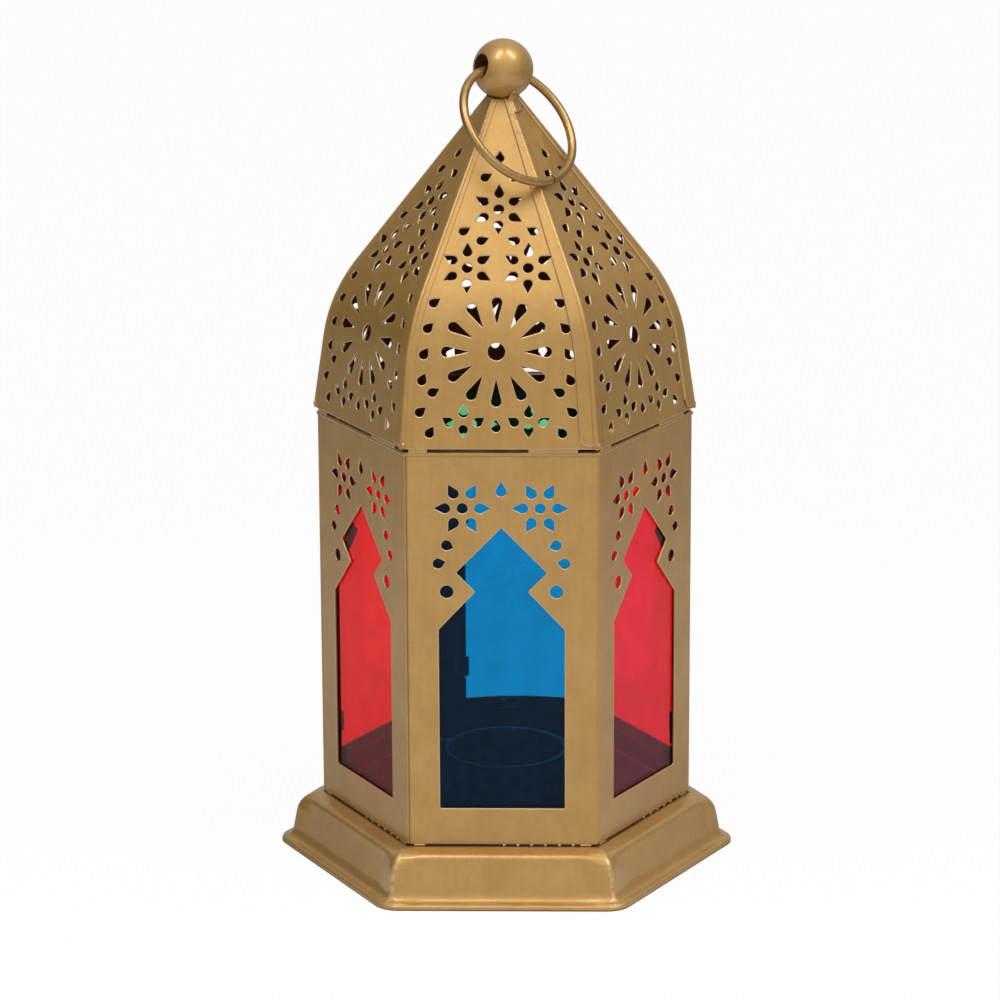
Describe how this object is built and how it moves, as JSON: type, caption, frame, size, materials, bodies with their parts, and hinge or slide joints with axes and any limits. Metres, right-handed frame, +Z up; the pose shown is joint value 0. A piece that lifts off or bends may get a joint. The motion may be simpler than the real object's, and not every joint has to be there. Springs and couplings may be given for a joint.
{
  "type": "candle lantern",
  "caption": "Candle lantern of pierced gold-painted sheet with coloured glass sides, a pierced dome, a ball finial with a carrying ring, a hinged glazed rear door and a candle cup.",
  "frame": {"origin": "middle of the base's underside, on the table", "axes": "+Z up along the lantern's axis, -Y towards the front side, +Y towards the door"},
  "size_m": [0.1556, 0.1372, 0.2797],
  "materials": {
    "gold_paint": "satin",
    "plain_tin": "satin",
    "brass_wire": "satin",
    "blue_glass": "gloss",
    "red_glass": "gloss",
    "amber_glass": "gloss",
    "green_glass": "gloss",
    "clear_glass": "gloss"
  },
  "bodies": {
    "lantern": {"base_tray": "gold_paint", "candle_cup": "plain_tin", "crown_disc": "gold_paint", "cup_rivet": "plain_tin", "dome_tabs": "gold_paint", "finial_ball": "gold_paint", "finial_stem": "plain_tin", "foot_beads": "plain_tin", "gore_front": "gold_paint", "gore_front_left": "gold_paint", "gore_front_right": "gold_paint", "gore_rear": "gold_paint", "gore_rear_left": "gold_paint", "gore_rear_right": "gold_paint", "hinge_knuckles": "gold_paint", "hinge_pins": "brass_wire", "pane_clips_front": "plain_tin", "pane_clips_front_left": "plain_tin", "pane_clips_front_right": "plain_tin", "pane_clips_rear_left": "plain_tin", "pane_clips_rear_right": "plain_tin", "pane_clips_transom": "plain_tin", "pane_front": "blue_glass", "pane_front_left": "red_glass", "pane_front_right": "red_glass", "pane_rear_left": "amber_glass", "pane_rear_right": "amber_glass", "pane_transom": "green_glass", "side_front": "gold_paint", "side_front_left": "gold_paint", "side_front_right": "gold_paint", "side_rear": "gold_paint", "side_rear_left": "gold_paint", "side_rear_right": "gold_paint"},
    "door": {"door_leaf": "gold_paint", "door_pane": "clear_glass", "door_pane_clips": "plain_tin"},
    "latch": {"latch_knob": "gold_paint", "latch_tongue": "gold_paint"},
    "ring": {"carry_ring": "brass_wire"}
  },
  "joints": [
    {"name": "door_hinge", "type": "hinge", "parent": "lantern", "child": "door", "pos_m": [0.028, 0.05636, 0.0746], "axis": [0, 0, -1], "range_deg": [0, 175]},
    {"name": "latch_turn", "type": "hinge", "parent": "door", "child": "latch", "pos_m": [-0.0202, 0.0555, 0.0746], "axis": [0, 1, 0], "range_deg": [0, 90]},
    {"name": "ring_swing", "type": "hinge", "parent": "lantern", "child": "ring", "pos_m": [0, 0, 0.26968], "axis": [-0.785, -0.583, 0.2096], "range_deg": [0, 280]}
  ]
}
